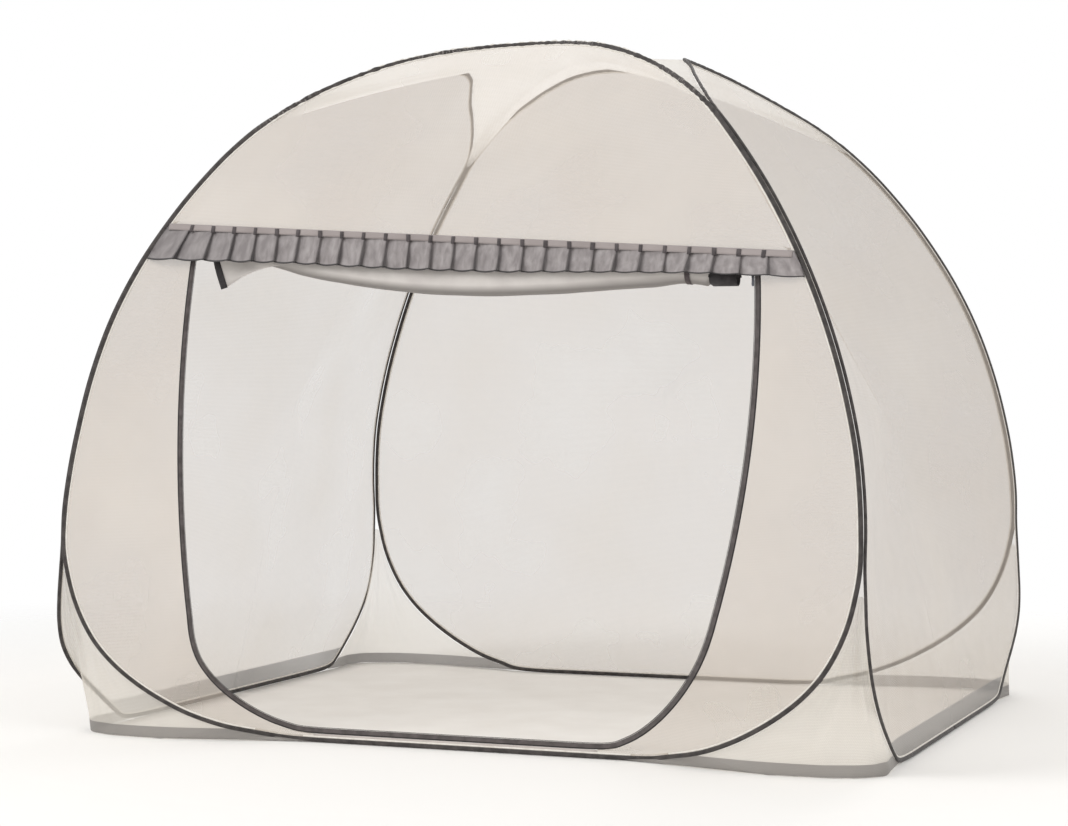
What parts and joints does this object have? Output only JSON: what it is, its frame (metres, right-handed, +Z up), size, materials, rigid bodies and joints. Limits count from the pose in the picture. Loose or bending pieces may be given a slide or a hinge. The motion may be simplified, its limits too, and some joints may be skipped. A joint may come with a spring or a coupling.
{
  "type": "folding mosquito net",
  "caption": "Pop-up dome mosquito net on crossed spring-wire loops, with net walls, a roof cloth, a zipped door rolled under a pleated valance and a base sheet.",
  "frame": {"origin": "middle of the base on the ground plane", "axes": "+Z up, the door faces -Y, +X to the right of someone facing the door"},
  "size_m": [1.9996, 1.7972, 1.6993],
  "materials": {
    "binding_tape": "charcoal folded polyester tape",
    "spring_steel": "sprung steel wire, hidden in the tape",
    "sleeve_steel": "crimped steel tube",
    "netting": "fine white mesh, sheer",
    "roof_cloth": "thin white cloth",
    "sheet_cloth": "thin grey cloth",
    "valance_cloth": "grey mauve satin-weave cloth",
    "zip_tape": "woven zip tape",
    "zip_coil": "nylon coil",
    "zip_metal": "plated zinc casting",
    "rolled_netting": "rolled white mesh",
    "tie_ribbon": "woven ribbon"
  },
  "bodies": {
    "side_walls": {"back_left_gusset": "netting", "back_right_gusset": "netting", "base_sheet": "sheet_cloth", "front_left_gusset": "netting", "front_right_gusset": "netting", "left_binding": "binding_tape", "left_net": "netting", "left_spring_wire": "spring_steel", "left_wire_sleeve": "sleeve_steel", "right_binding": "binding_tape", "right_net": "netting", "right_spring_wire": "spring_steel", "right_wire_sleeve": "sleeve_steel", "roof_cloth": "roof_cloth"},
    "front_wall": {"front_binding": "binding_tape", "front_header_tape": "valance_cloth", "front_left_net": "netting", "front_right_net": "netting", "front_sill_cloth": "sheet_cloth", "front_spring_wire": "spring_steel", "front_upper_net": "netting", "front_valance": "valance_cloth", "front_wire_sleeve": "sleeve_steel", "front_zip_coil": "zip_coil", "front_zip_tape": "zip_tape", "left_door_tie": "tie_ribbon", "left_zip_top_stop": "zip_metal", "right_door_tie": "tie_ribbon", "right_zip_top_stop": "zip_metal", "rolled_door": "rolled_netting"},
    "back_wall": {"back_binding": "binding_tape", "back_net": "netting", "back_spring_wire": "spring_steel", "back_wire_sleeve": "sleeve_steel"},
    "left_zip_slider": {"left_zip_slider": "zip_metal"},
    "right_zip_slider": {"right_zip_slider": "zip_metal"},
    "left_pull_tab": {"left_pull_tab": "zip_metal"},
    "right_pull_tab": {"right_pull_tab": "zip_metal"}
  },
  "joints": [
    {"name": "front_fold", "type": "hinge", "parent": "side_walls", "child": "front_wall", "pos_m": [0, 0, 2.69], "axis": [1, 0, 0], "range_deg": [0, 14], "stiffness_Nm_per_rad": 20, "springref_deg": -29.79, "deforming": ["back_left_gusset", "back_right_gusset", "base_sheet", "front_left_gusset", "front_right_gusset", "left_binding", "left_net", "left_spring_wire", "left_wire_sleeve", "right_binding", "right_net", "right_spring_wire", "right_wire_sleeve", "roof_cloth"]},
    {"name": "back_fold", "type": "hinge", "parent": "side_walls", "child": "back_wall", "pos_m": [0, 0, 2.69], "axis": [1, 0, 0], "range_deg": [-14, 0], "stiffness_Nm_per_rad": 20, "springref_deg": 29.79, "deforming": ["back_left_gusset", "back_right_gusset", "base_sheet", "front_left_gusset", "front_right_gusset", "left_binding", "left_net", "left_spring_wire", "left_wire_sleeve", "right_binding", "right_net", "right_spring_wire", "right_wire_sleeve", "roof_cloth"]},
    {"name": "left_zip_slide", "type": "hinge", "parent": "front_wall", "child": "left_zip_slider", "pos_m": [2.1281, 1.0343, 0.65311], "axis": [0.5535, -0.8274, 0.0948], "range_deg": [0, 15.8], "deforming": ["front_valance"]},
    {"name": "left_pull_swing", "type": "hinge", "parent": "left_zip_slider", "child": "left_pull_tab", "pos_m": [-0.66813, -0.78073, 1.18283], "axis": [-0.9959, -0.0313, 0.0851], "range_deg": [0, 150], "deforming": ["front_valance"]},
    {"name": "right_zip_slide", "type": "hinge", "parent": "front_wall", "child": "right_zip_slider", "pos_m": [-1.72239, -0.66907, 0.95964], "axis": [0.0592, 0.9949, -0.0816], "range_deg": [0, 18.8], "deforming": ["front_valance"]},
    {"name": "right_pull_swing", "type": "hinge", "parent": "right_zip_slider", "child": "right_pull_tab", "pos_m": [0.71341, -0.80647, 1.09692], "axis": [-0.9986, 0.01, -0.0523], "range_deg": [0, 150], "deforming": ["front_valance"]}
  ],
  "couplings": [
    {"joint": "back_fold", "follows": "front_fold", "ratio": -1}
  ]
}
